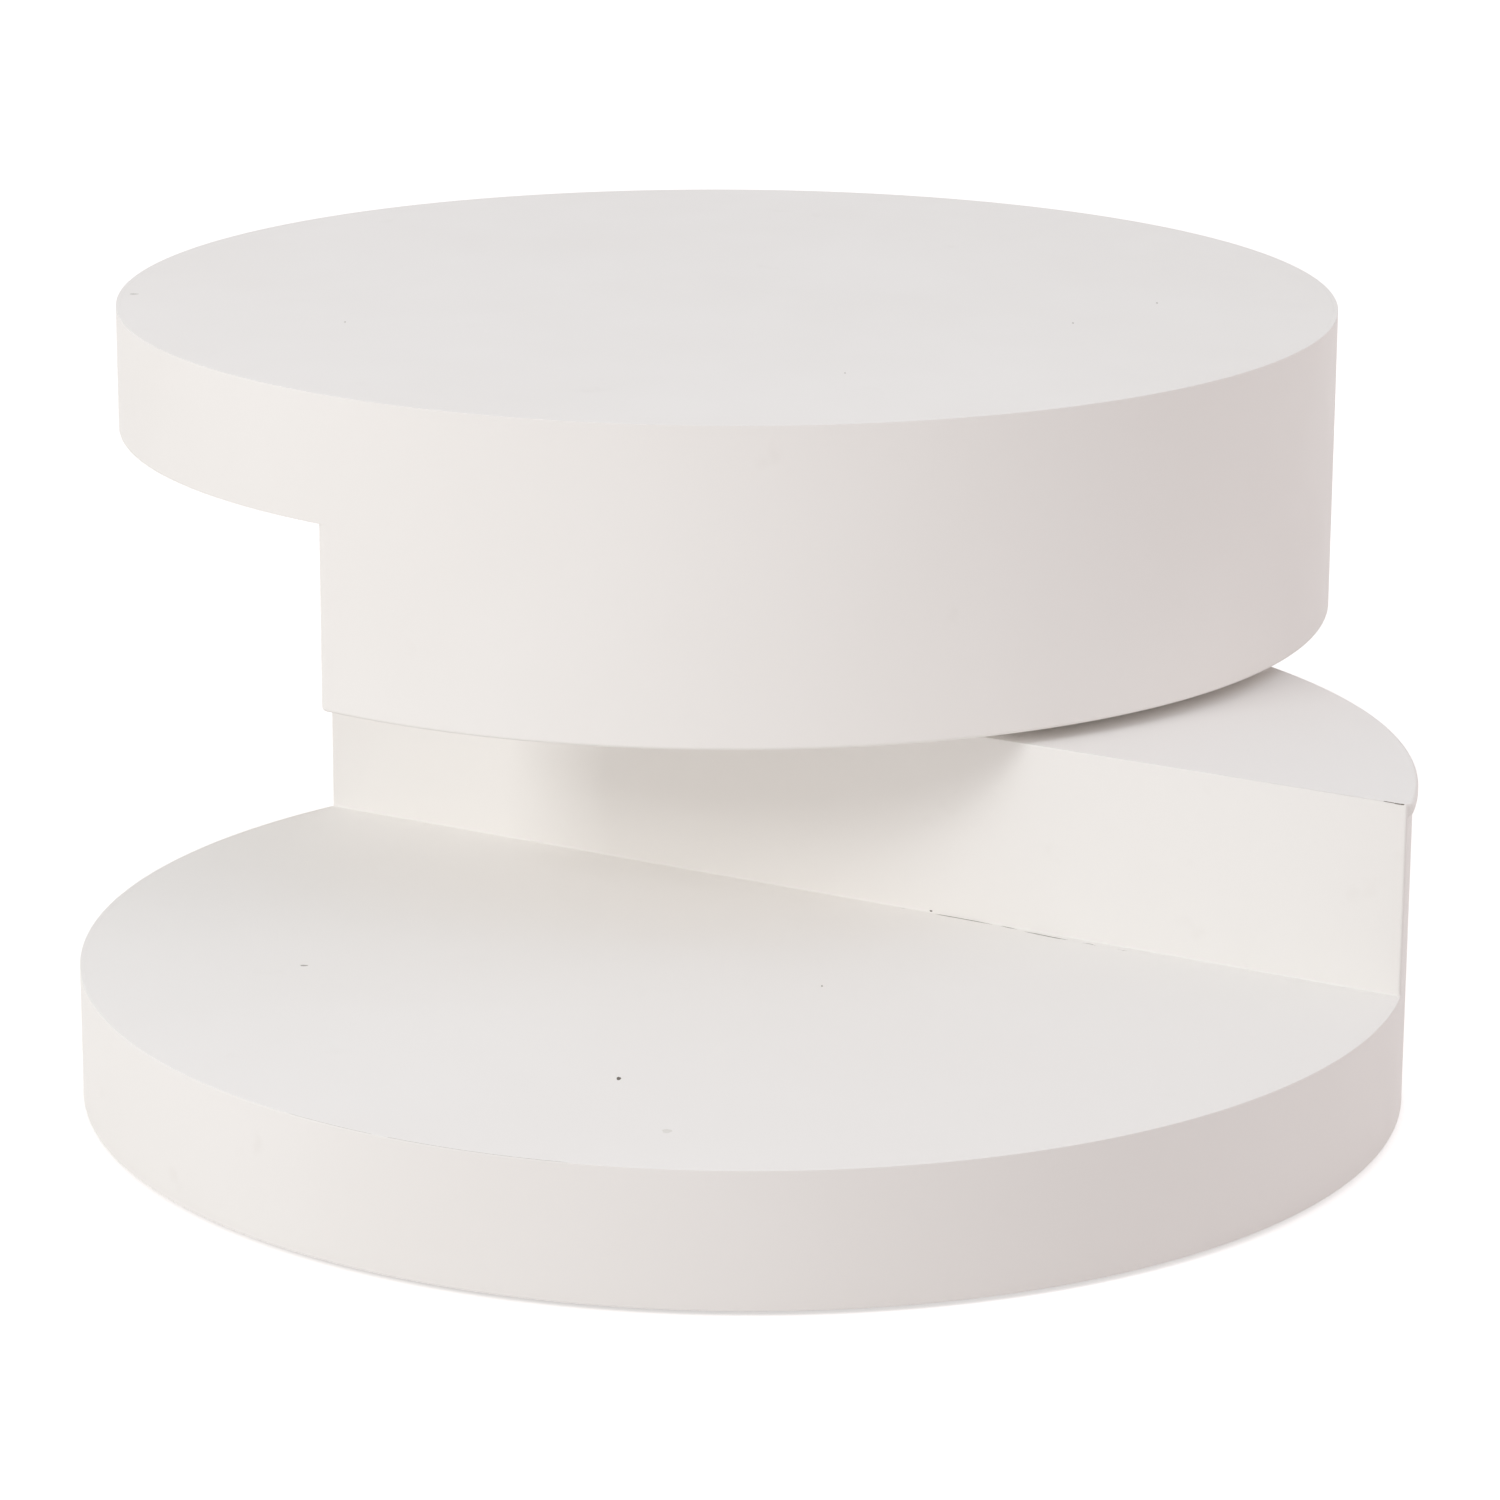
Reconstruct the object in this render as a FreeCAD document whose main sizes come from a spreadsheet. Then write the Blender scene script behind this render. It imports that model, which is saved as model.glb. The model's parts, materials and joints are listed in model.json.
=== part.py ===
import FreeCAD, Part
import math
import os
import re

import Sketcher

# A swivel coffee table: two alike units, each a thick round disc with a D-shaped block glued to it.
# The upper unit is the lower one turned upside down. It swings on a slewing ring between the blocks.
# The origin is at the centre of the base disc, on the floor. The lower block stands towards +Y.

# Driving sizes in millimetres. The swing is in degrees and the counts are plain numbers.
SIZES = {
    # Outer form of each unit
    "disc_radius": 400,
    "disc_height": 81,
    "block_height": 118,
    "block_depth": 285,
    "swivel_gap": 8,
    "swing_angle": -115,
    # Boards
    "band_thickness": 3,
    "deck_thickness": 15,
    "bottom_thickness": 12,
    "top_thickness": 15,
    "underside_thickness": 12,
    "lid_thickness": 15,
    "panel_thickness": 15,
    # Inner ribs, bearers and cleats
    "rib_thickness": 12,
    "rib_spacing": 190,
    "block_rib_spacing": 140,
    "bearer_thickness": 24,
    "cleat_width": 18,
    # Edges
    "rim_arris_radius": 1.5,
    "corner_radius": 3,
    "lid_overhang": 3,
    "lid_lip_height": 8,
    "lid_nose_radius": 3.5,
    "lid_arris_radius": 1.5,
    "hanging_edge_radius": 5.5,
    # Dowels at the foot of each flat panel
    "dowel_radius": 4,
    "dowel_spacing": 150,
    "dowel_board_depth": 9,
    "dowel_panel_depth": 25,
    # Floor glides and their nails
    "glide_radius": 15,
    "glide_height": 3,
    "glide_chamfer": 1,
    "glide_web": 1,
    "glide_inset": 60,
    "glide_count": 6,
    "nail_radius": 1.5,
    "nail_depth": 9,
    # Way in for the driver that turns the upper ring's screws, and its cap
    "driver_hole_radius": 10,
    "cap_hole_radius": 17.5,
    "cap_flange_width": 4,
    "cap_flange_thickness": 1.5,
    "cap_plug_height": 8,
    "cap_wall": 1.5,
    # Slewing ring
    "ring_set_back": 13,
    "ring_flange_width": 16.5,
    "ring_clearance": 1,
    "race_gap": 3,
    "ball_circle_radius": 82,
    "ball_radius": 2.5,
    "ball_count": 12,
    "ball_play": 0.1,
    "cage_side_play": 0.4,
    "cage_end_play": 0.6,
    # Ring screws
    "screw_radius": 2,
    "screw_head_radius": 4,
    "screw_length": 30,
    "screw_count": 6,
    # Clearances
    "fit_gap": 0.2,
    "cut_overrun": 5,
}

# Sums of sizes that several pieces share
BAND_INSIDE = "(disc_radius - band_thickness)"
BOARD_RADIUS = "(disc_radius - band_thickness - fit_gap)"
UNIT_HEIGHT = "(disc_height + block_height)"
LID_LOW = "(disc_height + block_height - lid_thickness)"
FACE = "(disc_radius - block_depth)"
PANEL_BACK = "(disc_radius - block_depth + panel_thickness)"
GLIDE_CIRCLE = "(disc_radius - glide_inset)"
RING_HEIGHT = "(swivel_gap - ring_clearance)"
OUTER_RACE = "(ball_circle_radius + race_gap / 2)"
INNER_RACE = "(ball_circle_radius - race_gap / 2)"
RING_OUTSIDE = f"({OUTER_RACE} + ring_flange_width)"
RING_BORE = f"({INNER_RACE} - ring_flange_width)"
OUTER_SCREW_CIRCLE = f"({OUTER_RACE} + ring_flange_width / 2)"
INNER_SCREW_CIRCLE = f"({INNER_RACE} - ring_flange_width / 2)"
PIVOT = f"({FACE} + {RING_OUTSIDE} + ring_set_back)"
GROOVE_RADIUS = "(ball_radius + ball_play)"
PILOT_DEPTH = "(screw_length - swivel_gap + ring_clearance - lid_thickness + fit_gap)"
ORIGIN = ("0", "0")

# Where the lower unit, the upper unit and the slewing ring stand
LEVEL = "rotation(vector(0; 0; 1); 0)"
LOWER_UNIT = f"placement(vector(0; 0; glide_height); {LEVEL})"
TURNED_OVER = "rotation(vector(0; 0; 1); swing_angle) * rotation(vector(0; 1; 0); 180)"
UPPER_UNIT = (
    f"placement(vector(0; {PIVOT}; glide_height + 2 * {UNIT_HEIGHT} + swivel_gap); {TURNED_OVER})"
    f" * placement(vector(0; -{PIVOT}; 0); {LEVEL})"
)
ON_LID = f"placement(vector(0; {PIVOT}; glide_height + {UNIT_HEIGHT}); {LEVEL})"
SWUNG_ON_LID = f"{ON_LID} * placement(vector(0; 0; 0); rotation(vector(0; 0; 1); swing_angle))"
UNDER_DRIVER_HOLE = f"placement(vector({INNER_SCREW_CIRCLE}; {PIVOT}; glide_height); {LEVEL})"

doc = FreeCAD.newDocument("swivel_coffee_table")
sheet = doc.addObject("Spreadsheet::Sheet", "dims")
for row, (alias, size) in enumerate(SIZES.items(), start=1):
    sheet.set(f"A{row}", alias)
    sheet.set(f"B{row}", str(size))
    sheet.setAlias(f"B{row}", alias)
doc.recompute()


# Drawing helpers


def formula(text):
    """Point every size named in a sum at its cell of the sheet: only a size's name has an underscore."""
    return re.sub(r"[a-z]+(_[a-z]+)+", r"dims.\g<0>", text)


def half_chord(radius, offset):
    """Half the width of a circle at a distance from its centre."""
    return f"sqrt(({radius})^2 - ({offset})^2)"


def new_body(label, place):
    """Start one piece of the table at its place."""
    body = doc.addObject("PartDesign::Body", label)
    body.Label = label
    body.setExpression("Placement", formula(place))
    return body


def origin_feature(body, role):
    return next(feature for feature in body.Origin.OriginFeatures if feature.Role == role)


def new_sketch(body, plane, lift="0", shift="0"):
    """Start a sketch on an origin plane, lifted along the plane's normal and shifted along its first axis."""
    sketch = body.newObject("Sketcher::SketchObject", f"{body.Name}_sketch")
    sketch.AttachmentSupport = [(origin_feature(body, plane), "")]
    sketch.MapMode = "FlatFace"
    sketch.setExpression("AttachmentOffset.Base.z", formula(lift))
    sketch.setExpression("AttachmentOffset.Base.x", formula(shift))
    return sketch


def measure(sketch, text):
    return float(sketch.evalExpression(formula(text)))


def hold(sketch, kind, *where, text):
    """Add a dimension and bind it to a sum of sizes."""
    index = sketch.addConstraint(Sketcher.Constraint(kind, *where, measure(sketch, text)))
    name = f"size{index}"
    sketch.renameConstraint(index, name)
    sketch.setExpression(f"Constraints.{name}", formula(text))


def hold_point(sketch, geometry, end, x, y):
    """Fix a point at two sums of sizes from the sketch's origin."""
    for kind, text, axis in (("DistanceX", x, -2), ("DistanceY", y, -1)):
        if text == "0":
            sketch.addConstraint(Sketcher.Constraint("PointOnObject", geometry, end, axis))
        else:
            hold(sketch, kind, -1, 1, geometry, end, text=text)


def short_arc(here, there, centre, radius):
    """The shorter arc between two points, with the number of its end at each of them."""
    first = math.atan2(here.y - centre.y, here.x - centre.x)
    turn = (math.atan2(there.y - centre.y, there.x - centre.x) - first) % (2 * math.pi)
    circle = Part.Circle(centre, FreeCAD.Vector(0, 0, 1), radius)
    if turn <= math.pi:
        return Part.ArcOfCircle(circle, first, first + turn), 1, 2
    return Part.ArcOfCircle(circle, first + turn, first + 2 * math.pi), 2, 1


def draw(sketch, *corners):
    """Draw a closed outline. A corner is (x, y), or (x, y, centre, radius) if an arc leaves it."""
    points = [FreeCAD.Vector(measure(sketch, c[0]), measure(sketch, c[1]), 0) for c in corners]
    starts = []
    ends = []
    for index, corner in enumerate(corners):
        here = points[index]
        there = points[(index + 1) % len(points)]
        if len(corner) == 2:
            edge = sketch.addGeometry(Part.LineSegment(here, there))
            first, last = 1, 2
        else:
            centre = FreeCAD.Vector(*(measure(sketch, text) for text in corner[2]), 0)
            arc, first, last = short_arc(here, there, centre, measure(sketch, corner[3]))
            edge = sketch.addGeometry(arc)
        starts.append((edge, first))
        ends.append((edge, last))
    for index, corner in enumerate(corners):
        sketch.addConstraint(Sketcher.Constraint("Coincident", *ends[index - 1], *starts[index]))
        hold_point(sketch, *starts[index], corner[0], corner[1])
        if len(corner) > 2:
            hold(sketch, "Radius", starts[index][0], text=corner[3])


def draw_circle(sketch, x, y, radius):
    circle = Part.Circle(
        FreeCAD.Vector(measure(sketch, x), measure(sketch, y), 0),
        FreeCAD.Vector(0, 0, 1),
        measure(sketch, radius),
    )
    edge = sketch.addGeometry(circle)
    hold_point(sketch, edge, 3, x, y)
    hold(sketch, "Radius", edge, text=radius)


def draw_ring_of_circles(sketch, circle, count, radius, centre_y="0"):
    """Draw one small circle per screw, nail or glide, evenly round a larger circle."""
    for index in range(SIZES[count]):
        turn = f"(360 * {index} / {count})"
        draw_circle(sketch, f"{circle} * cos{turn}", f"{centre_y} + {circle} * sin{turn}", radius)


def pad(body, sketch, length):
    feature = body.newObject("PartDesign::Pad", "Pad")
    feature.Profile = sketch
    feature.setExpression("Length", formula(length))
    return feature


def pocket(body, sketch, depth, upward=False):
    """Cut down from a level sketch, or up from it."""
    feature = body.newObject("PartDesign::Pocket", "Pocket")
    feature.Profile = sketch
    feature.Reversed = upward
    feature.setExpression("Length", formula(depth))
    return feature


def cut_across(body, sketch):
    """Cut right through the piece on both sides of the sketch."""
    feature = body.newObject("PartDesign::Pocket", "CutAcross")
    feature.Profile = sketch
    feature.Type = "ThroughAll"
    feature.Midplane = True
    return feature


def turn_profile(body, sketch, kind="PartDesign::Revolution"):
    """Turn a profile about the sketch's upright axis, to add it or, as a groove, to cut it."""
    feature = body.newObject(kind, "Turned")
    feature.Profile = sketch
    feature.ReferenceAxis = (sketch, ["V_Axis"])
    return feature


def repeat_round(body, feature, count):
    """Repeat a feature evenly about the piece's upright axis."""
    pattern = body.newObject("PartDesign::PolarPattern", "Round")
    pattern.Originals = [feature]
    pattern.Axis = (origin_feature(body, "Z_Axis"), [""])
    pattern.setExpression("Occurrences", formula(count))
    body.Tip = pattern


# Boards and bands of a unit, drawn with the disc's outer skin at z = 0 and the block above it


def make_band(label, place):
    """The bent band round a disc. Behind the flat panel it rises in one piece as the block's wall."""
    body = new_body(label, place)
    ring = new_sketch(body, "XZ_Plane")
    arris = "rim_arris_radius"
    inset = f"disc_radius - {arris}"
    upper = f"disc_height - {arris}"
    draw(
        ring,
        (BAND_INSIDE, "0"),
        (inset, "0", (inset, arris), arris),
        ("disc_radius", arris),
        ("disc_radius", upper, (inset, upper), arris),
        (inset, "disc_height"),
        (BAND_INSIDE, "disc_height"),
    )
    turn_profile(body, ring)
    for start, height in ((FACE, "disc_height"), (PANEL_BACK, LID_LOW)):
        wall = new_sketch(body, "XY_Plane")
        outer = half_chord("disc_radius", start)
        inner = half_chord(BAND_INSIDE, start)
        draw(
            wall,
            (outer, start, ORIGIN, "disc_radius"),
            (f"-{outer}", start),
            (f"-{inner}", start, ORIGIN, BAND_INSIDE),
            (inner, start),
        )
        pad(body, wall, height)


def make_skin(label, place, low, thickness):
    """A round board inside the band."""
    body = new_body(label, place)
    disc = new_sketch(body, "XY_Plane", lift=low)
    draw_circle(disc, "0", "0", BOARD_RADIUS)
    pad(body, disc, thickness)
    return body


def drill_driver_hole(body, top, depth, radius="driver_hole_radius"):
    """Let the driver through to the circle of the upper ring's screws."""
    hole = new_sketch(body, "XY_Plane", lift=top)
    draw_circle(hole, INNER_SCREW_CIRCLE, PIVOT, radius)
    pocket(body, hole, depth)


def draw_dowels(sketch, radius):
    for step in (-2, -1, 0, 1, 2):
        draw_circle(sketch, f"{step} * dowel_spacing", f"{FACE} + panel_thickness / 2", radius)


def drill_dowel_holes(body, depth, upward):
    holes = new_sketch(body, "XY_Plane", lift="disc_height")
    draw_dowels(holes, "dowel_radius + fit_gap")
    pocket(body, holes, f"{depth} + fit_gap", upward)


def make_dowels(label, place):
    body = new_body(label, place)
    rods = new_sketch(body, "XY_Plane", lift="disc_height - dowel_board_depth")
    draw_dowels(rods, "dowel_radius")
    pad(body, rods, "dowel_board_depth + dowel_panel_depth")


def make_ribs(label, place, low, high, crosswise):
    """Three ribs across a disc, cut to the band and halved where they cross the other three."""
    body = new_body(label, place)
    outlines = new_sketch(body, "XY_Plane", lift=low)
    slots = new_sketch(body, "XY_Plane", lift=f"({low} + {high}) / 2")
    for step in (-1, 0, 1):
        near = f"({step} * rib_spacing - rib_thickness / 2)"
        far = f"({step} * rib_spacing + rib_thickness / 2)"
        near_end = half_chord(BOARD_RADIUS, near)
        far_end = half_chord(BOARD_RADIUS, far)
        rib = [
            (f"-{near_end}", near),
            (near_end, near, ORIGIN, BOARD_RADIUS),
            (far_end, far),
            (f"-{far_end}", far, ORIGIN, BOARD_RADIUS),
        ]
        left = f"{near} - fit_gap"
        right = f"{far} + fit_gap"
        slot = [
            (left, "-disc_radius"),
            (right, "-disc_radius"),
            (right, "disc_radius"),
            (left, "disc_radius"),
        ]
        if not crosswise:
            rib = [(corner[1], corner[0], *corner[2:]) for corner in rib]
            slot = [(corner[1], corner[0]) for corner in slot]
        draw(outlines, *rib)
        draw(slots, *slot)
    pad(body, outlines, f"{high} - {low}")
    pocket(body, slots, f"({high} - {low}) / 2 + cut_overrun", upward=crosswise)


def make_flat_panel(label, place, arris):
    """The block's flat face: ends flush with the wall, upper edge mitred to the cap board."""
    body = new_body(label, place)
    plan = new_sketch(body, "XY_Plane", lift="disc_height")
    inset = "(disc_radius - corner_radius)"
    corner_y = f"({FACE} + corner_radius)"
    corner_x = half_chord(inset, corner_y)
    end_x = f"({corner_x} * disc_radius / {inset})"
    end_y = f"({corner_y} * disc_radius / {inset})"
    back_x = half_chord("disc_radius", PANEL_BACK)
    draw(
        plan,
        (f"-{corner_x}", FACE),
        (corner_x, FACE, (corner_x, corner_y), "corner_radius"),
        (end_x, end_y, ORIGIN, "disc_radius"),
        (back_x, PANEL_BACK),
        (f"-{back_x}", PANEL_BACK, ORIGIN, "disc_radius"),
        (f"-{end_x}", end_y, (f"-{corner_x}", corner_y), "corner_radius"),
    )
    pad(body, plan, "block_height")
    mitre = new_sketch(body, "YZ_Plane")
    draw(
        mitre,
        (f"{PANEL_BACK} + cut_overrun", LID_LOW),
        (f"{PANEL_BACK} + cut_overrun", f"{UNIT_HEIGHT} + cut_overrun"),
        (FACE, f"{UNIT_HEIGHT} + cut_overrun"),
        (FACE, UNIT_HEIGHT),
        (PANEL_BACK, LID_LOW),
    )
    cut_across(body, mitre)
    round_arris(body, arris)
    drill_dowel_holes(body, "dowel_panel_depth", upward=True)


def round_arris(body, arris):
    """Round the edge where the flat panel and the cap board meet, on either of them."""
    waste = new_sketch(body, "YZ_Plane")
    centre = (f"{FACE} + {arris}", f"{UNIT_HEIGHT} - {arris}")
    draw(
        waste,
        (FACE, centre[1], centre, arris),
        (centre[0], UNIT_HEIGHT),
        (centre[0], f"{UNIT_HEIGHT} + cut_overrun"),
        (f"{FACE} - cut_overrun", f"{UNIT_HEIGHT} + cut_overrun"),
        (f"{FACE} - cut_overrun", centre[1]),
    )
    cut_across(body, waste)


def make_cap_board(label, place, profile, arris, screw_circle):
    """The D-shaped board that closes a block: a turned edge, cut off and mitred at the flat face."""
    body = new_body(label, place)
    edge = new_sketch(body, "XZ_Plane")
    draw(edge, *profile)
    turn_profile(body, edge)
    front = new_sketch(body, "YZ_Plane")
    reach = "-(disc_radius + lid_overhang + cut_overrun)"
    draw(
        front,
        (reach, f"{LID_LOW} - cut_overrun"),
        (PANEL_BACK, f"{LID_LOW} - cut_overrun"),
        (PANEL_BACK, LID_LOW),
        (FACE, UNIT_HEIGHT),
        (FACE, f"{UNIT_HEIGHT} + cut_overrun"),
        (reach, f"{UNIT_HEIGHT} + cut_overrun"),
    )
    cut_across(body, front)
    round_arris(body, arris)
    drill_pilots(body, UNIT_HEIGHT, "lid_thickness", screw_circle)
    return body


def drill_pilots(body, top, depth, screw_circle):
    """Drill for the slewing ring's screws."""
    holes = new_sketch(body, "XY_Plane", lift=top)
    draw_ring_of_circles(holes, screw_circle, "screw_count", "screw_radius + fit_gap", PIVOT)
    pocket(body, holes, depth)


def make_block_ribs(label, place):
    """Four ribs from the flat panel's back to the curved wall."""
    body = new_body(label, place)
    outlines = new_sketch(body, "XY_Plane", lift="disc_height")
    for step in (-2, -1, 1, 2):
        left = f"({step} * block_rib_spacing - rib_thickness / 2)"
        right = f"({step} * block_rib_spacing + rib_thickness / 2)"
        draw(
            outlines,
            (left, PANEL_BACK),
            (right, PANEL_BACK),
            (right, half_chord(BOARD_RADIUS, right), ORIGIN, BOARD_RADIUS),
            (left, half_chord(BOARD_RADIUS, left)),
        )
    pad(body, outlines, "block_height - lid_thickness")


BAY_SIDE = "(block_rib_spacing - rib_thickness / 2 - fit_gap)"


def make_cleat(label, place):
    """A batten in the corner of flat panel and disc, between the two middle ribs."""
    body = new_body(label, place)
    plan = new_sketch(body, "XY_Plane", lift="disc_height")
    back = f"{PANEL_BACK} + cleat_width"
    draw(plan, (f"-{BAY_SIDE}", PANEL_BACK), (BAY_SIDE, PANEL_BACK), (BAY_SIDE, back), (f"-{BAY_SIDE}", back))
    pad(body, plan, "cleat_width")


def make_bearer(label, place, screw_circle):
    """The thick board under a cap board, from panel to wall, that takes the ends of the ring's screws."""
    body = new_body(label, place)
    plan = new_sketch(body, "XY_Plane", lift=f"{LID_LOW} - bearer_thickness")
    wall = half_chord(BOARD_RADIUS, BAY_SIDE)
    draw(
        plan,
        (f"-{BAY_SIDE}", PANEL_BACK),
        (BAY_SIDE, PANEL_BACK),
        (BAY_SIDE, wall, ORIGIN, BOARD_RADIUS),
        (f"-{BAY_SIDE}", wall),
    )
    pad(body, plan, "bearer_thickness")
    drill_pilots(body, LID_LOW, PILOT_DEPTH, screw_circle)
    return body


# Feet and the cap of the driver hole, drawn with the underside of the base at z = 0


def make_glides():
    """One glide in the middle and a ring of them near the rim, each bored for its nail."""
    body = new_body("floor_glides", LOWER_UNIT)
    profile = (
        ("0", "-glide_height"),
        ("glide_radius - glide_chamfer", "-glide_height"),
        ("glide_radius", "glide_chamfer - glide_height"),
        ("glide_radius", "0"),
        ("nail_radius + fit_gap", "0"),
        ("nail_radius + fit_gap", "glide_web - glide_height"),
        ("0", "glide_web - glide_height"),
    )
    rim_glide = new_sketch(body, "XZ_Plane", shift=GLIDE_CIRCLE)
    draw(rim_glide, *profile)
    repeat_round(body, turn_profile(body, rim_glide), "glide_count")
    middle_glide = new_sketch(body, "XZ_Plane")
    draw(middle_glide, *profile)
    turn_profile(body, middle_glide)


def draw_nails(sketch, radius):
    draw_circle(sketch, "0", "0", radius)
    draw_ring_of_circles(sketch, GLIDE_CIRCLE, "glide_count", radius)


def make_nails():
    body = new_body("glide_nails", LOWER_UNIT)
    shanks = new_sketch(body, "XY_Plane", lift="glide_web - glide_height")
    draw_nails(shanks, "nail_radius")
    pad(body, shanks, "glide_height - glide_web + nail_depth")


def drill_nail_holes(body):
    holes = new_sketch(body, "XY_Plane")
    draw_nails(holes, "nail_radius + fit_gap")
    pocket(body, holes, "nail_depth + fit_gap", upward=True)


def make_cap():
    """A hollow plug with a flange that covers the driver hole from below."""
    body = new_body("access_cap", UNDER_DRIVER_HOLE)
    plug = "(cap_hole_radius - fit_gap)"
    flange = "(cap_hole_radius + cap_flange_width)"
    profile = new_sketch(body, "XZ_Plane")
    draw(
        profile,
        ("0", "-cap_flange_thickness"),
        (flange, "-cap_flange_thickness"),
        (flange, "0"),
        (plug, "0"),
        (plug, "cap_plug_height"),
        (f"{plug} - cap_wall", "cap_plug_height"),
        (f"{plug} - cap_wall", "0"),
        ("0", "0"),
    )
    turn_profile(body, profile)


# Slewing ring, drawn about its own axis with the lid's top at z = 0

BALL_LEVEL = "(swivel_gap / 2)"
BALL_CENTRE = ("ball_circle_radius", BALL_LEVEL)
GROOVE_HALF = half_chord(GROOVE_RADIUS, "race_gap / 2")


def make_race_ring(label, place, race, rim, low, high, screw_circle, head_up):
    """One flat ring with half of the ball groove in its race and countersunk screw holes."""
    body = new_body(label, place)
    section = new_sketch(body, "XZ_Plane")
    draw(
        section,
        (race, low),
        (rim, low),
        (rim, high),
        (race, high),
        (race, f"{BALL_LEVEL} + {GROOVE_HALF}", BALL_CENTRE, GROOVE_RADIUS),
        (race, f"{BALL_LEVEL} - {GROOVE_HALF}"),
    )
    turn_profile(body, section)
    hole = new_sketch(body, "XZ_Plane", shift=screw_circle)
    draw(hole, *screw_profile(high if head_up else low, head_up, "fit_gap"))
    repeat_round(body, turn_profile(body, hole, "PartDesign::Groove"), "screw_count")


def screw_profile(head, head_up, play):
    """Half of a countersunk screw's section, or of its hole where there is play."""
    into = "-" if head_up else "+"
    tip = f"(screw_length - screw_head_radius + {play})"
    return (
        ("0", head),
        (f"screw_head_radius + {play}", head),
        (f"screw_radius + {play}", f"{head} {into} (screw_head_radius - screw_radius)"),
        (f"screw_radius + {play}", f"{head} {into} {tip}"),
        ("0", f"{head} {into} (screw_length + {play})"),
    )


def make_ring_screws(label, place, head, head_up, screw_circle):
    body = new_body(label, place)
    section = new_sketch(body, "XZ_Plane", shift=screw_circle)
    draw(section, *screw_profile(head, head_up, "0 * fit_gap"))
    repeat_round(body, turn_profile(body, section), "screw_count")


def make_cage():
    """A thin ring with one round window for each ball."""
    body = new_body("ball_cage", ON_LID)
    inside = f"{INNER_RACE} + cage_side_play"
    outside = f"{OUTER_RACE} - cage_side_play"
    section = new_sketch(body, "XZ_Plane")
    draw(
        section,
        (inside, "cage_end_play"),
        (outside, "cage_end_play"),
        (outside, "swivel_gap - cage_end_play"),
        (inside, "swivel_gap - cage_end_play"),
    )
    turn_profile(body, section)
    window = new_sketch(body, "YZ_Plane")
    draw_circle(window, "0", BALL_LEVEL, GROOVE_RADIUS)
    repeat_round(body, pocket(body, window, OUTER_RACE, upward=True), "ball_count")


def make_balls():
    body = new_body("bearing_balls", ON_LID)
    half = new_sketch(body, "XZ_Plane", shift="ball_circle_radius")
    bottom = f"{BALL_LEVEL} - ball_radius"
    middle = ("0", BALL_LEVEL)
    draw(
        half,
        ("0", bottom, middle, "ball_radius"),
        ("ball_radius", BALL_LEVEL, middle, "ball_radius"),
        ("0", f"{BALL_LEVEL} + ball_radius"),
    )
    repeat_round(body, turn_profile(body, half), "ball_count")


# Lower unit

make_band("base_band", LOWER_UNIT)
bottom = make_skin("base_bottom_panel", LOWER_UNIT, "0", "bottom_thickness")
drill_driver_hole(bottom, "bottom_thickness", "bottom_thickness", "cap_hole_radius")
drill_nail_holes(bottom)
deck = make_skin("base_deck", LOWER_UNIT, "(disc_height - deck_thickness)", "deck_thickness")
drill_driver_hole(deck, "disc_height", "deck_thickness")
drill_dowel_holes(deck, "dowel_board_depth", upward=False)
for name, crosswise in (("base_ribs_crosswise", True), ("base_ribs_lengthwise", False)):
    make_ribs(name, LOWER_UNIT, "bottom_thickness", "(disc_height - deck_thickness)", crosswise)
make_flat_panel("block_front_panel", LOWER_UNIT, "lid_arris_radius")
make_dowels("front_panel_dowels", LOWER_UNIT)
make_block_ribs("block_ribs", LOWER_UNIT)
make_cleat("block_cleat", LOWER_UNIT)
lid_nose = "(disc_radius + lid_overhang)"
lip_low = f"({UNIT_HEIGHT} - lid_lip_height)"
lid = make_cap_board(
    "block_lid",
    LOWER_UNIT,
    (
        ("0", LID_LOW),
        ("disc_radius", LID_LOW),
        ("disc_radius", lip_low, ("disc_radius", f"{lip_low} + lid_overhang"), "lid_overhang"),
        (lid_nose, f"{lip_low} + lid_overhang"),
        (
            lid_nose,
            f"{UNIT_HEIGHT} - lid_nose_radius",
            (f"{lid_nose} - lid_nose_radius", f"{UNIT_HEIGHT} - lid_nose_radius"),
            "lid_nose_radius",
        ),
        (f"{lid_nose} - lid_nose_radius", UNIT_HEIGHT),
        ("0", UNIT_HEIGHT),
    ),
    "lid_arris_radius",
    OUTER_SCREW_CIRCLE,
)
drill_driver_hole(lid, UNIT_HEIGHT, "lid_thickness")
bearer = make_bearer("lower_bearer", LOWER_UNIT, OUTER_SCREW_CIRCLE)
drill_driver_hole(bearer, LID_LOW, "bearer_thickness")
make_glides()
make_nails()
make_cap()

# Slewing ring

make_race_ring(
    "outer_race_ring", ON_LID, OUTER_RACE, RING_OUTSIDE, "0", RING_HEIGHT, OUTER_SCREW_CIRCLE, True
)
make_ring_screws("outer_ring_screws", ON_LID, RING_HEIGHT, True, OUTER_SCREW_CIRCLE)
make_cage()
make_balls()
make_race_ring(
    "inner_race_ring",
    SWUNG_ON_LID,
    INNER_RACE,
    RING_BORE,
    "ring_clearance",
    "swivel_gap",
    INNER_SCREW_CIRCLE,
    False,
)
make_ring_screws("inner_ring_screws", SWUNG_ON_LID, "ring_clearance", False, INNER_SCREW_CIRCLE)

# Upper unit

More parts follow.
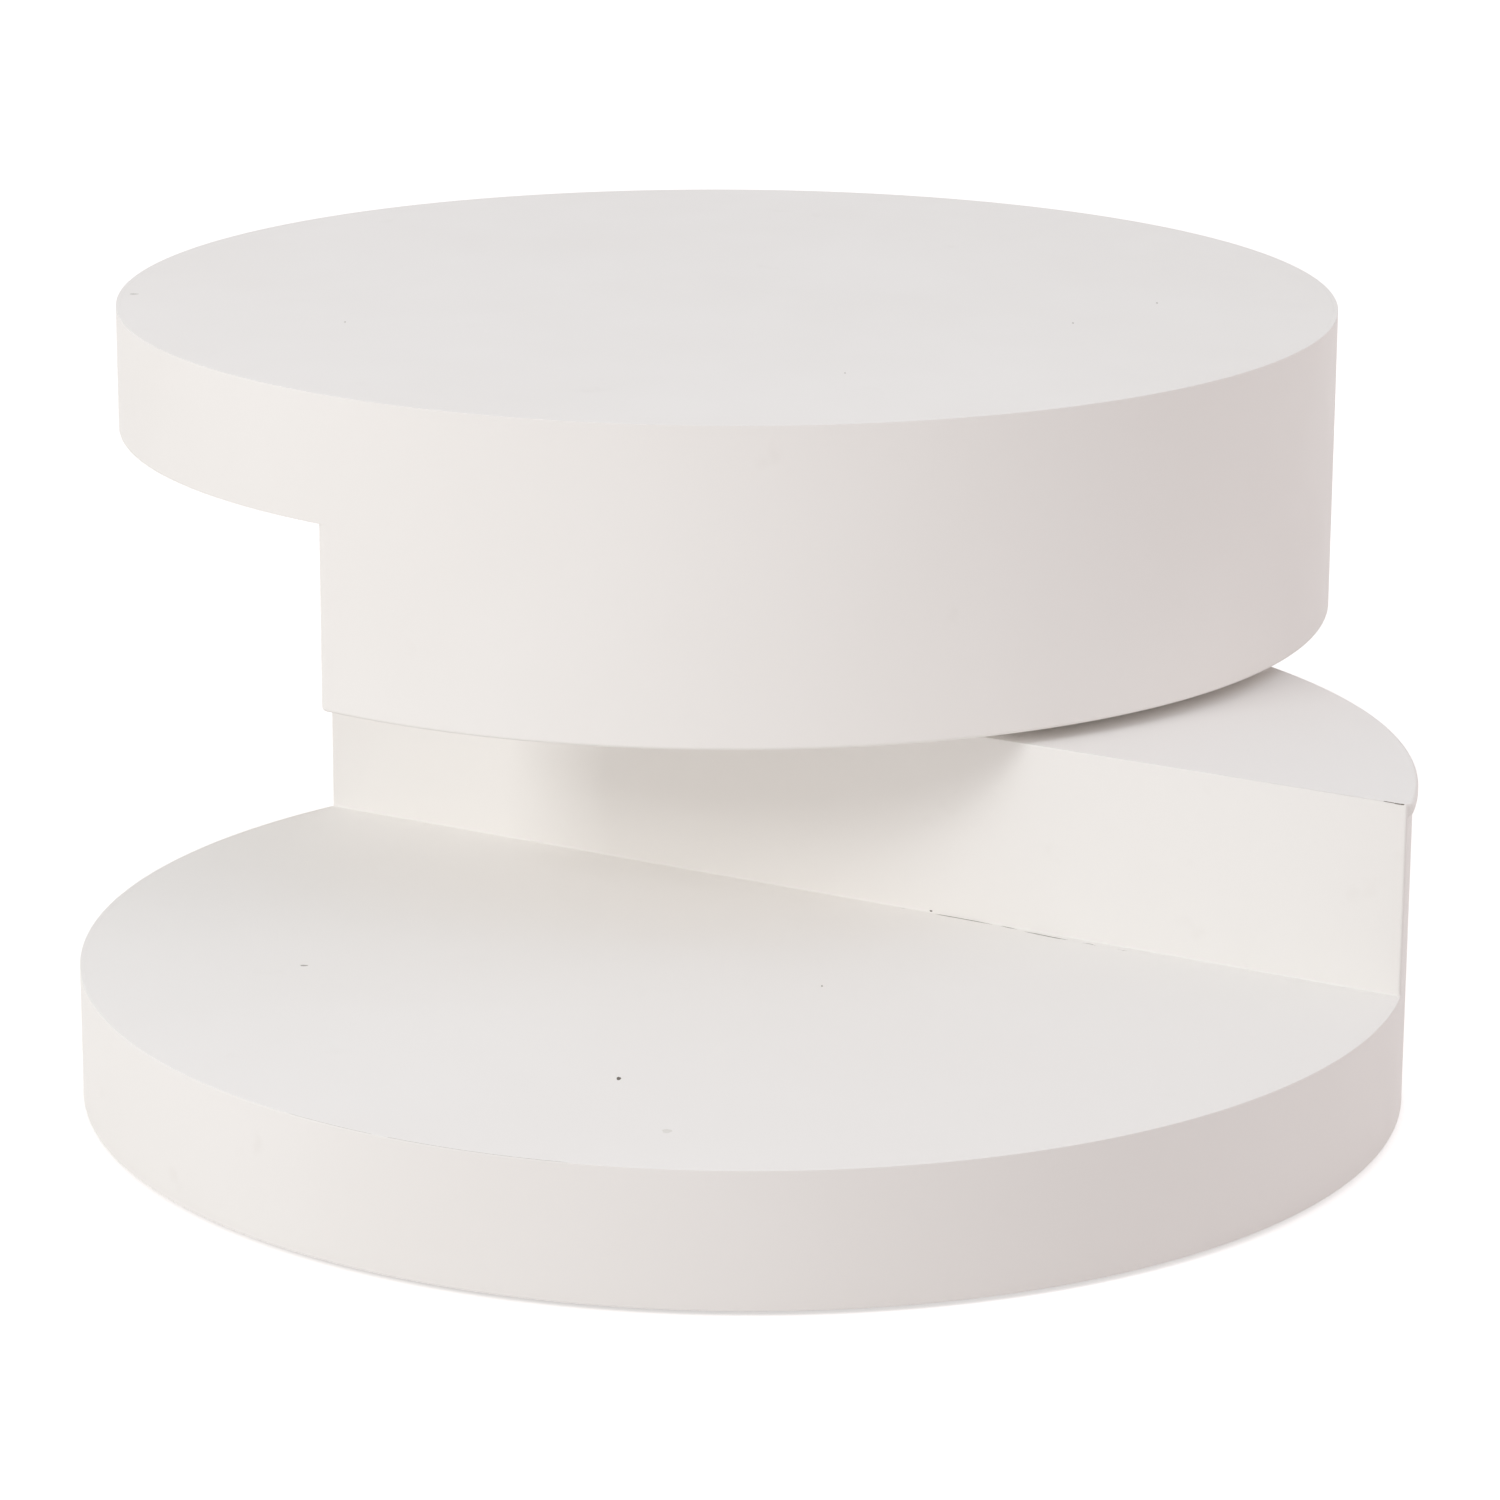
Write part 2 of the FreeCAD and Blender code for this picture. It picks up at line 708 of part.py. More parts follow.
make_band("top_band", UPPER_UNIT)
make_skin("top_panel", UPPER_UNIT, "0", "top_thickness")
underside = make_skin(
    "top_underside_panel", UPPER_UNIT, "(disc_height - underside_thickness)", "underside_thickness"
)
drill_dowel_holes(underside, "dowel_board_depth", upward=False)
for name, crosswise in (("top_ribs_crosswise", True), ("top_ribs_lengthwise", False)):
    make_ribs(name, UPPER_UNIT, "top_thickness", "(disc_height - underside_thickness)", crosswise)
make_flat_panel("hanging_face_panel", UPPER_UNIT, "hanging_edge_radius")
make_dowels("hanging_panel_dowels", UPPER_UNIT)
make_block_ribs("hanging_block_ribs", UPPER_UNIT)
make_cleat("hanging_block_cleat", UPPER_UNIT)
make_cap_board(
    "hanging_block_base",
    UPPER_UNIT,
    (
        ("0", LID_LOW),
        ("disc_radius", LID_LOW),
        (
            "disc_radius",
            f"{UNIT_HEIGHT} - hanging_edge_radius",
            ("disc_radius - hanging_edge_radius", f"{UNIT_HEIGHT} - hanging_edge_radius"),
            "hanging_edge_radius",
        ),
        ("disc_radius - hanging_edge_radius", UNIT_HEIGHT),
        ("0", UNIT_HEIGHT),
    ),
    "hanging_edge_radius",
    INNER_SCREW_CIRCLE,
)
make_bearer("upper_bearer", UPPER_UNIT, INNER_SCREW_CIRCLE)

doc.recompute()

failed = [item.Label for item in doc.Objects if {"Invalid", "Error"} & set(item.State)]
pieces = [item for item in doc.Objects if item.TypeId == "PartDesign::Body"]
failed += [piece.Label for piece in pieces if piece.Shape.isNull() or not piece.Shape.isValid()]
if failed:
    raise RuntimeError("not built: " + ", ".join(failed))
os.makedirs("parts", exist_ok=True)
for piece in pieces:
    piece.Shape.exportStep(f"parts/{piece.Label}.step")
    print(piece.Label, len(piece.Shape.Solids), "solids", round(piece.Shape.Volume), "mm3")
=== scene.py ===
"""A white swivel coffee table: two lacquered discs, each with a D-shaped block, that turn on each other."""

import json
import math

import bmesh
import bpy
from mathutils import Matrix, Vector


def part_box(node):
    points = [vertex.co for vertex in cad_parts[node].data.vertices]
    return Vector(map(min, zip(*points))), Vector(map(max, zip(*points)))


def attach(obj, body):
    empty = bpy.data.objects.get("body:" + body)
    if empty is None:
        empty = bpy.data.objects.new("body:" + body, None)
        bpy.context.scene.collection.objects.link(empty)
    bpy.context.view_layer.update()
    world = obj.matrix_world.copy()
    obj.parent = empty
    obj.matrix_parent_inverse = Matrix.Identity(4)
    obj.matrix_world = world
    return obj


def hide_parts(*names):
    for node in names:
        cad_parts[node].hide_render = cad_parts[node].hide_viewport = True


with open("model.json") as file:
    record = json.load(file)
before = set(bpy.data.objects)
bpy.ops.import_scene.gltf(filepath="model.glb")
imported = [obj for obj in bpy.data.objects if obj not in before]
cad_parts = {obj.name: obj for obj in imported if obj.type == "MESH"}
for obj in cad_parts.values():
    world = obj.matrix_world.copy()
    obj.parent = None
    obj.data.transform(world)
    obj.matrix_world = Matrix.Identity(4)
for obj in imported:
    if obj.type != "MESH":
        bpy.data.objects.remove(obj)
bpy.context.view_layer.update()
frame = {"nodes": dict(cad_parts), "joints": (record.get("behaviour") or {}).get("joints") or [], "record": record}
nodes = frame["nodes"]
slot_of = {name: node.data.materials[0].name for name, node in nodes.items()}
MM = 0.001
UP = Vector((0, 0, 1))
FRONT = Vector((0, -1, 0))


# The photograph's camera, in the row frame

IMAGE_SIDE = 1500
FOCAL_PIXELS = 5541.6
SENSOR_WIDTH = 36.0
CAMERA_PLACE = Vector((1.63407599, -2.75867425, 1.10964))
CAMERA_AHEAD = Vector((-0.48963655, 0.82869008, -0.27116195))
CAMERA_UP = Vector((-0.14224184, 0.23090955, 0.96252171))
CAMERA_RIGHT = CAMERA_AHEAD.cross(CAMERA_UP)


def sight(pixel):
    """The ray from the camera through a pixel of the photograph, for one metre ahead."""
    across, down = ((value - IMAGE_SIDE / 2) / FOCAL_PIXELS for value in pixel)
    return CAMERA_AHEAD + (across * CAMERA_RIGHT - down * CAMERA_UP)


def seen_at(pixel, height):
    """The point at this height that shows at a pixel of the photograph."""
    ray = sight(pixel)
    return CAMERA_PLACE + ray * ((height - CAMERA_PLACE.z) / ray.z)


def seen_on_face(pixel):
    """The point of the lower unit's flat face that shows at a pixel of the photograph."""
    ray = sight(pixel)
    return CAMERA_PLACE + ray * ((FACE - CAMERA_PLACE.y) / ray.y)


def make_camera():
    data = bpy.data.cameras.new("camera")
    data.sensor_width = SENSOR_WIDTH
    data.lens = FOCAL_PIXELS / IMAGE_SIDE * SENSOR_WIDTH
    camera = bpy.data.objects.new("camera", data)
    bpy.context.scene.collection.objects.link(camera)
    axes = Matrix((CAMERA_RIGHT, CAMERA_UP, -CAMERA_AHEAD)).transposed()
    camera.matrix_world = Matrix.Translation(CAMERA_PLACE) @ axes.to_4x4()
    bpy.context.scene.camera = camera


# Sizes of a unit, read from the frame, but for the band's thickness and the photograph's roundings.
# A unit stands on its disc's outer skin, at height 0, block up.

SIZE_DIGITS = 4


def low(node):
    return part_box(node)[0]


def high(node):
    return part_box(node)[1]


LIFT = low("base_band").z
RADIUS = round(high("base_band").x, SIZE_DIGITS)
BAND = 3 * MM
BAND_INSIDE = RADIUS - BAND
DISC = high("base_deck").z - LIFT
SKIN_DECK = high("base_deck").z - low("base_deck").z
SKIN_TOP = high("top_panel").z - low("top_panel").z
SKIN_UNDERSIDE = high("top_underside_panel").z - low("top_underside_panel").z
CAP_LOW = low("block_lid").z - LIFT
UNIT = high("block_lid").z - LIFT
FACE = low("block_front_panel").y
PANEL_BACK = high("block_front_panel").y
LID_RADIUS = round(high("block_lid").y, SIZE_DIGITS)
RIM_ARRIS = 0.35 * MM
FACE_CORNER = 1.5 * MM
LID_NOSE = 2.5 * MM
LID_LIP = 8 * MM
LID_ARRIS = 0.5 * MM
LID_CORNER = 6 * MM
HANGING_CORNER = 7 * MM
HANGING_NOSE = 2.5 * MM
HANGING_ARRIS = 5.5 * MM

swivel = next(joint for joint in frame["joints"] if joint["name"] == "top_swivel")
top_mount = next(mount for mount in frame["record"]["mounts"] if mount["name"] == "table_top")
PIVOT = Vector(swivel["pos_m"])
TOP_CENTRE = Vector(top_mount["pos_m"])
swung = TOP_CENTRE - PIVOT
SWING = math.atan2(swung.x, -swung.y)
LOWER = Matrix.Translation((0, 0, LIFT))
UPPER = (
    Matrix.Translation((PIVOT.x, PIVOT.y, TOP_CENTRE.z))
    @ Matrix.Rotation(SWING, 4, "Z")
    @ Matrix.Rotation(math.pi, 4, "Y")
    @ Matrix.Translation((-PIVOT.x, -PIVOT.y, 0))
)


# Node helpers

class Nodes:
    """A node tree, with short calls that add nodes and feed their sockets."""

    def __init__(self, tree):
        self.nodes = tree.nodes
        self.links = tree.links

    def add(self, kind, **settings):
        node = self.nodes.new(kind)
        for name, value in settings.items():
            setattr(node, name, value)
        return node

    def feed(self, socket, value):
        """Links an output to the socket, or sets a plain value on it."""
        if isinstance(value, bpy.types.NodeSocket):
            self.links.new(value, socket)
        else:
            socket.default_value = value

    def operate(self, kind, operation, values):
        """A node of one of the math kinds, with its inputs fed in order."""
        node = self.add(kind, operation=operation)
        for socket, value in zip(node.inputs, values):
            self.feed(socket, value)
        return node.outputs

    def math(self, operation, *values):
        return self.operate("ShaderNodeMath", operation, values)["Value"]

    def vector_math(self, operation, *values):
        return self.operate("ShaderNodeVectorMath", operation, values)["Vector"]

    def dot(self, first, second):
        return self.operate("ShaderNodeVectorMath", "DOT_PRODUCT", (first, second))["Value"]

    def shown(self):
        """1 for the rays by which the camera sees, also mirrored or through glass, and 0 for others."""
        rays = self.add("ShaderNodeLightPath").outputs
        seen = self.math("MAXIMUM", rays["Is Camera Ray"], rays["Is Glossy Ray"])
        return self.math("MAXIMUM", seen, rays["Is Transmission Ray"])


class Finish(Nodes):
    """A material's node tree, with short calls for the textures that the finishes here use."""

    MIX_FIRST = 6
    MIX_SECOND = 7
    MIX_RESULT = 2

    def __init__(self, name):
        self.material = bpy.data.materials.new(name)
        self.material.use_nodes = True
        super().__init__(self.material.node_tree)
        self.shader = self.nodes["Principled BSDF"]
        self.place = self.add("ShaderNodeTexCoord").outputs["Object"]

    def mapped(self, **inputs):
        """The place in the row frame, moved or scaled."""
        mapping = self.add("ShaderNodeMapping")
        self.feed(mapping.inputs["Vector"], self.place)
        for name, value in inputs.items():
            mapping.inputs[name].default_value = value
        return mapping.outputs["Vector"]

    def stretched(self, along):
        """The place in the row frame, with lengths drawn out by these factors along each axis."""
        return self.mapped(Scale=[1 / factor for factor in along])

    def noise(self, size, detail=2.0, roughness=0.5, place=None):
        """Noise whose lumps are about this size, in metres."""
        node = self.add("ShaderNodeTexNoise")
        self.feed(node.inputs["Vector"], place or self.place)
        node.inputs["Scale"].default_value = 1 / size
        node.inputs["Detail"].default_value = detail
        node.inputs["Roughness"].default_value = roughness
        return node.outputs["Fac"]

    def spread(self, value, low=0.3, high=0.7, to_low=0.0, to_high=1.0):
        """Maps a value from a span, by default where most noise lies, to another, held at its ends."""
        node = self.add("ShaderNodeMapRange", interpolation_type="SMOOTHSTEP")
        self.feed(node.inputs["Value"], value)
        node.inputs["From Min"].default_value = low
        node.inputs["From Max"].default_value = high
        node.inputs["To Min"].default_value = to_low
        node.inputs["To Max"].default_value = to_high
        return node.outputs["Result"]

    def mix(self, share, first, second):
        """A colour between the two."""
        node = self.add("ShaderNodeMix", data_type="RGBA")
        self.feed(node.inputs["Factor"], share)
        self.feed(node.inputs[self.MIX_FIRST], first)
        self.feed(node.inputs[self.MIX_SECOND], second)
        return node.outputs[self.MIX_RESULT]

    def bump(self, height, depth, under=None):
        """A bump of this depth, in metres, on top of an earlier one."""
        node = self.add("ShaderNodeBump")
        self.feed(node.inputs["Height"], height)
        node.inputs["Distance"].default_value = depth
        if under is not None:
            self.feed(node.inputs["Normal"], under)
        return node.outputs["Normal"]

    def set(self, **inputs):
        """Feeds the shader's sockets, with spaces for underscores in their names."""
        for name, value in inputs.items():
            self.feed(self.shader.inputs[name.replace("_", " ")], value)
        return self.material


# Finishes. A wave texture of scale 1 repeats after WAVE_PERIOD.

WAVE_PERIOD = math.tau / 20
LACQUER_PALE = (0.900, 0.888, 0.872, 1)
LACQUER_DEEP = (0.890, 0.876, 0.858, 1)
LACQUER_SMUDGED = (0.876, 0.861, 0.842, 1)
FIBRE_DARK = (0.36, 0.25, 0.155, 1)
FIBRE_PALE = (0.52, 0.39, 0.255, 1)
FIBRE_CLOUD = (0.43, 0.30, 0.185, 1)
PLY_DARK = (0.55, 0.38, 0.22, 1)
PLY_PALE = (0.68, 0.50, 0.31, 1)
PLY_GLUE = (0.30, 0.18, 0.09, 1)
PLY_SPACING = 1.5 * MM
BEECH_PALE = (0.62, 0.41, 0.24, 1)
BEECH_FLECK = (0.42, 0.25, 0.13, 1)
ALUMINIUM_BRIGHT = (0.60, 0.61, 0.63, 1)
ALUMINIUM_DULL = (0.52, 0.53, 0.54, 1)
TURNING_SPACING = 0.4 * MM
ZINC_DULL = (0.55, 0.57, 0.60, 1)
ZINC_BRIGHT = (0.68, 0.69, 0.70, 1)
ZINC_CRYSTAL = 0.8 * MM
MOULD_SHEEN = 0.06


def white_lacquer():
    """Sprayed satin lacquer: slow waves of the board, faint orange peel, smudges and rubbed patches."""
    tree = Finish("white_lacquer")
    clouds = tree.spread(tree.noise(0.24, detail=3), low=0.35, high=0.65)
    smudges = tree.spread(tree.noise(0.045, detail=3, roughness=0.6), low=0.66, high=0.8)
    colour = tree.mix(clouds, LACQUER_PALE, LACQUER_DEEP)
    colour = tree.mix(smudges, colour, LACQUER_SMUDGED)
    rubbed = tree.noise(0.05, detail=4, roughness=0.6)
    waves = tree.bump(tree.noise(0.09), depth=0.12 * MM)
    peel = tree.bump(tree.noise(4 * MM), depth=0.008 * MM, under=waves)
    return tree.set(
        Base_Color=colour,
        Roughness=tree.spread(rubbed, to_low=0.52, to_high=0.62),
        Normal=peel,
        Specular_IOR_Level=0.15,
    )


def scar(name, dark, pale):
    """Dirt and bare board where the lacquer has chips, scratches or smudges; two of them also serve as painted
    shade in cracks.
    """
    tree = Finish(name)
    colour = tree.mix(tree.noise(1 * MM), dark, pale)
    return tree.set(Base_Color=colour, Roughness=0.9)


def raw_mdf():
    """Sanded fibreboard: an even brown felt of short fibres."""
    tree = Finish("raw_mdf")
    fibres = tree.noise(1.2 * MM, detail=5, roughness=0.7)
    clouds = tree.noise(0.04, detail=2)
    colour = tree.mix(tree.spread(fibres), FIBRE_DARK, FIBRE_PALE)
    colour = tree.mix(tree.spread(clouds, to_high=0.35), colour, FIBRE_CLOUD)
    return tree.set(Base_Color=colour, Roughness=0.88, Normal=tree.bump(fibres, depth=0.08 * MM))


def plywood():
    """Birch plywood: long grain on the faces and dark glue lines between the plies at the edges."""
    tree = Finish("plywood")
    grain = tree.noise(2.5 * MM, detail=4, place=tree.stretched((14, 1, 1)))
    plies = tree.add("ShaderNodeTexWave", bands_direction="Z", wave_profile="SIN")
    tree.feed(plies.inputs["Vector"], tree.place)
    plies.inputs["Scale"].default_value = WAVE_PERIOD / PLY_SPACING
    colour = tree.mix(tree.spread(grain), PLY_DARK, PLY_PALE)
    glue = tree.spread(plies.outputs["Fac"], low=0.12, high=0.0, to_high=0.6)
    colour = tree.mix(glue, colour, PLY_GLUE)
    return tree.set(Base_Color=colour, Roughness=0.75, Normal=tree.bump(grain, depth=0.1 * MM))


def beech():
    """Turned beech rod with short dark flecks along it."""
    tree = Finish("beech")
    flecks = tree.noise(0.8 * MM, detail=3, place=tree.stretched((1, 1, 6)))
    colour = tree.mix(tree.spread(flecks, low=0.45), BEECH_PALE, BEECH_FLECK)
    return tree.set(Base_Color=colour, Roughness=0.6, Normal=tree.bump(flecks, depth=0.05 * MM))


def ring_aluminium():
    """Turned aluminium: fine rings round the pivot and a satin sheen."""
    tree = Finish("ring_aluminium")
    rings = tree.add("ShaderNodeTexWave", wave_type="RINGS", rings_direction="Z")
    tree.feed(rings.inputs["Vector"], tree.mapped(Location=(-PIVOT.x, -PIVOT.y, 0)))
    rings.inputs["Scale"].default_value = WAVE_PERIOD / TURNING_SPACING
    rings.inputs["Distortion"].default_value = 0.6
    dull = tree.noise(12 * MM, detail=3)
    colour = tree.mix(tree.spread(dull), ALUMINIUM_BRIGHT, ALUMINIUM_DULL)
    return tree.set(
        Base_Color=colour,
        Metallic=1.0,
        Roughness=tree.spread(dull, to_low=0.28, to_high=0.42),
        Normal=tree.bump(rings.outputs["Fac"], depth=0.01 * MM),
    )


def zinc_steel():
    """Bright zinc plating with small crystals of differing sheen."""
    tree = Finish("zinc_steel")
    crystals = tree.add("ShaderNodeTexVoronoi")
    tree.feed(crystals.inputs["Vector"], tree.place)
    crystals.inputs["Scale"].default_value = 1 / ZINC_CRYSTAL
    spangle = crystals.outputs["Color"]
    colour = tree.mix(spangle, ZINC_DULL, ZINC_BRIGHT)
    sheen = tree.spread(spangle, low=0, high=1, to_low=0.22, to_high=0.38)
    return tree.set(Base_Color=colour, Metallic=1.0, Roughness=sheen)


def moulded(name, pale, deep, roughness):
    """Moulded plastic with a fine spark-eroded grain."""
    tree = Finish(name)
    grain = tree.noise(0.5 * MM, detail=3)
    colour = tree.mix(tree.spread(tree.noise(8 * MM)), pale, deep)
    shine = tree.spread(grain, to_low=roughness - MOULD_SHEEN, to_high=roughness + MOULD_SHEEN)
    return tree.set(Base_Color=colour, Roughness=shine, Normal=tree.bump(grain, depth=0.02 * MM))


# The first colours chips and also paints the shade in the cracks at the block's foot and the lid seam.
chip_dirt_and_crack_shade = scar("chip_dirt_and_crack_shade", (0.10, 0.09, 0.08, 1), (0.22, 0.19, 0.16, 1))
# The next colours scratches and also paints the shade in the crack along the deck's edge.
scratches_and_seam_shade = scar("scratches_and_seam_shade", (0.36, 0.34, 0.31, 1), (0.52, 0.50, 0.46, 1))
smudged = scar("smudged", (0.74, 0.725, 0.69, 1), (0.82, 0.805, 0.775, 1))
finishes = {
    "raw_mdf": raw_mdf(),
    "plywood": plywood(),
    "beech": beech(),
    "ring_aluminium": ring_aluminium(),
    "zinc_steel": zinc_steel(),
    "nylon": moulded("nylon", (0.74, 0.74, 0.68, 1), (0.70, 0.69, 0.62, 1), 0.42),
    "glide_plastic": moulded("glide_plastic", (0.24, 0.24, 0.235, 1), (0.20, 0.20, 0.195, 1), 0.5),
    "cap_plastic": moulded("cap_plastic", (0.76, 0.76, 0.73, 1), (0.72, 0.72, 0.69, 1), 0.5),
    "white_lacquer": white_lacquer(),
}
for name, node in nodes.items():
    node.data.materials[0] = finishes[slot_of[name]]
painted = finishes["white_lacquer"]


# Mesh helpers. EASE takes the edge off hidden corners, SNUG parts pieces that meet, WELD joins points.

RIM_STEPS = 480
ARC_STEPS = 200
CHORD_STEPS = 200
ROUND_STEPS = 8
EASE = 0.05 * MM
SNUG = 0.02 * MM
WELD = 0.002 * MM
SHARP = math.radians(32)


def turns(start, end, steps):
    """Evenly spaced angles or places from start to end, both included."""
    return [start + (end - start) * step / steps for step in range(steps + 1)]


def on_circle(radius, angles):
    return [(radius * math.cos(turn), radius * math.sin(turn)) for turn in angles]


def bridge(skin, here, there):
    """Joins two loops of equally many points by faces all round."""
    for first in range(len(here)):
        second = (first + 1) % len(here)
        skin.faces.new((here[first], here[second], there[second], there[first]))


def loft(loops, ring=False, skin=None):
    """A closed skin through loops of equally many points, capped or joined to a ring.

    It is added to the given skin, if there is one.
    """
    skin = bmesh.new() if skin is None else skin
    rows = [[skin.verts.new(point) for point in loop] for loop in loops]
    for here, there in zip(rows, rows[1:] + rows[:1] if ring else rows[1:]):
        bridge(skin, here, there)
    if not ring:
        skin.faces.new(reversed(rows[0]))
        skin.faces.new(rows[-1])
    return skin


def make_piece(name, skin, body, place, finish=painted, stands_for=()):
    """Puts a skin in its place, smooth but for its real edges, and lets it ride on a body."""
    bmesh.ops.remove_doubles(skin, verts=skin.verts, dist=WELD)
    bmesh.ops.dissolve_degenerate(skin, dist=WELD, edges=skin.edges)
    bmesh.ops.recalc_face_normals(skin, faces=skin.faces)
    skin.transform(place)
    mesh = bpy.data.meshes.new(name)
    skin.to_mesh(mesh)
    skin.free()
    mesh.shade_smooth()
    mesh.set_sharp_from_angle(angle=SHARP)
    mesh.materials.append(finish)
    piece = bpy.data.objects.new(name, mesh)
    bpy.context.scene.collection.objects.link(piece)
    weighted = piece.modifiers.new("even_shading", "WEIGHTED_NORMAL")
    weighted.keep_sharp = True
    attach(piece, body)
    if stands_for:
        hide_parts(*stands_for)


def make_mark(name, skin, body, finish):
    """A scar, a smudge or a strip of painted crack shade, whose skin is in the row frame already."""
    make_piece(name, skin, body, Matrix.Identity(4), finish)


# Pieces of a unit

HEIGHT_DIGITS = 7


def rounded(radius, depth):
    """Inset of a rounded edge at a depth from its tip: none below the rounding, all of it at the tip."""
    share = min(1.0, max(0.0, 1 - depth / radius))
    return radius * (1 - math.sqrt(1 - share**2))


def skin_board(bottom, top):
    """A round board inside the band."""
    loops = []
    for inset, height in ((EASE, bottom), (0, bottom + EASE), (0, top - EASE), (EASE, top)):
        ring = on_circle(BAND_INSIDE - SNUG - inset, turns(0, math.tau, RIM_STEPS)[:-1])
        loops.append([(x, y, height) for x, y in ring])
    return loft(loops)


def band_section(top, arris):
    """Radius and height round the band's section, rounded at its foot and, if asked, at its upper edge."""
    lower = [RIM_ARRIS * (1 + math.sin(turn)) for turn in turns(-math.pi / 2, 0, ROUND_STEPS)]
    section = [(BAND_INSIDE, 0.0)]
    section += [(RADIUS - rounded(RIM_ARRIS, height), height) for height in lower]
    for turn in turns(0, math.pi / 2, ROUND_STEPS):
        height = top - RIM_ARRIS * (1 - math.sin(turn))
        section.append((RADIUS - (rounded(RIM_ARRIS, top - height) if arris else 0), height))
    return section + [(BAND_INSIDE, top)]


def band(corner):
    """The bent band round a disc. It rises as the block's wall, and carries the flat panel's ends."""
    wall = math.asin(PANEL_BACK / RADIUS)
    foot = math.asin((FACE + corner) / (RADIUS - corner))
    runs = (
        (math.pi - foot, math.tau + foot, RIM_STEPS // 2, band_section(DISC, arris=True)),
        (foot, wall, ROUND_STEPS, band_section(DISC, arris=False)),
        (wall, math.pi - wall, RIM_STEPS // 2, band_section(CAP_LOW, arris=False)),
        (math.pi - wall, math.pi - foot, ROUND_STEPS, band_section(DISC, arris=False)),
    )
    loops = []
    for start, end, steps, section in runs:
        for angle in turns(start, end, steps):
            loops.append([(r * math.cos(angle), r * math.sin(angle), z) for r, z in section])
    return loft(loops, ring=True)


def d_plan(radius, chord, corner):
    """Outline of a D from above: its arc from right to left, then its chord, with rounded corners."""
    lean = math.asin((chord + corner) / (radius - corner))
    centre = (radius - corner) * math.cos(lean)
    plan = on_circle(radius, turns(lean, math.pi - lean, ARC_STEPS))
    bend = on_circle(corner, turns(-math.pi / 2, lean, ROUND_STEPS))
    plan += [(-centre - x, chord + corner + y) for x, y in reversed(bend)][1:]
    plan += [(x, chord) for x in turns(-centre, centre, CHORD_STEPS)][1:]
    plan += [(centre + x, chord + corner + y) for x, y in bend][1:-1]
    return plan


def opened(at, crack):
    """Width at a place of a joint with a crack, given as its start, its end and its greatest width."""
    start, end, most = crack
    share = (at - start) / (end - start)
    return most * math.sin(math.pi * share) if 0 < share < 1 else 0.0


def flat_panel(corner, arris, crack=None):
    """The block's flat face. Its upper edge is mitred to the cap board, with the arris rounded."""
    back = math.asin((PANEL_BACK - SNUG) / RADIUS)
    plan = d_plan(RADIUS, FACE, corner)[ARC_STEPS + 1:]
    lean = math.asin((FACE + corner) / (RADIUS - corner))
    end = on_circle(RADIUS, turns(lean, back, ROUND_STEPS))
    plan = [(-x, y) for x, y in reversed(end)] + plan + end
    loops = [[(x, y, DISC) for x, y in plan]]
    for turn in turns(0, math.pi / 4, ROUND_STEPS):
        front = FACE + arris * (1 - math.cos(turn))
        rise = UNIT - arris * (1 - math.sin(turn))
        loop = []
        for x, y in plan:
            depth = max(y, front)
            gap = opened(x, crack) if crack else 0.0
            loop.append((x, depth, min(rise, UNIT - (depth - FACE)) - SNUG - gap))
        loops.append(loop)
    return loft(loops)


def behind_panel(x, y, height):
    """Moves a point of a cap board out of the flat panel's sight: to the mitre, or just inside its ends."""
    mitre = FACE + UNIT - height
    reach = math.hypot(x, y)
    if y >= mitre or reach > RADIUS + WELD:
        return x, y
    if reach > BAND_INSIDE:
        return x * (1 - SNUG / RADIUS), y + SNUG
    limit = math.sqrt(BAND_INSIDE**2 - mitre**2)
    return math.copysign(min(abs(x), limit), x), mitre


def cap_board(overhang, lip, corner, nose, arris):
    """The D-shaped board that closes a block: its arc has a lip, and its chord is mitred to the panel."""
    radius = RADIUS + overhang
    lip_low = UNIT - lip
    lower = turns(-math.pi / 2, 0, ROUND_STEPS)
    upper = turns(0, math.pi / 2, ROUND_STEPS)
    mitred = turns(math.pi / 4, math.pi / 2, ROUND_STEPS)
    heights = [CAP_LOW]
    heights += [lip_low + overhang * (1 + math.sin(turn)) for turn in lower]
    heights += [UNIT - nose * (1 - math.sin(turn)) for turn in upper]
    heights += [UNIT - arris * (1 - math.sin(turn)) for turn in mitred]
    loops = []
    for height in sorted({round(height, HEIGHT_DIGITS) for height in heights}):
        inset = rounded(nose, UNIT - height)
        if overhang:
            inset += rounded(overhang, height - lip_low)
        if UNIT - height < arris * (1 - math.sin(math.pi / 4)):
            step = rounded(arris, UNIT - height)
            plan = d_plan(radius - inset, FACE + step, max(corner - max(inset, step), EASE))
        else:
            plan = d_plan(radius - inset, FACE, max(corner - inset, EASE))
            plan = [behind_panel(x, y, height) for x, y in plan]
        loops.append([(x, y, height) for x, y in plan])
    return loft(loops)


# The filler's size sways along it. Each wave has its radians to the metre, its shift and its share.

BEAD = 0.9 * MM
BEAD_STEPS = 360
BEAD_ARC_STEPS = 5
BEAD_SWAY = 0.16
BEAD_WAVES = ((61, 1, 1.0), (149, 2, 1.0), (397, 1, 0.5))


def filler_bead(corner, phase):
    """Brushed filler in the corner of flat panel and disc."""
    reach = math.sqrt((RADIUS - corner) ** 2 - (FACE + corner) ** 2)
    loops = []
    for x in turns(-reach, reach, BEAD_STEPS):
        sway = sum(share * math.sin(x * wave + shift * phase) for wave, shift, share in BEAD_WAVES)
        size = BEAD * (1 + BEAD_SWAY * sway)
        section = [(x, FACE, DISC)]
        for turn in turns(0, -math.pi / 2, BEAD_ARC_STEPS):
            out = size * (1 - math.cos(turn))
            rise = size * (1 + math.sin(turn))
            section.append((x, FACE - out, DISC + rise))
        loops.append(section)
    return loft(loops)
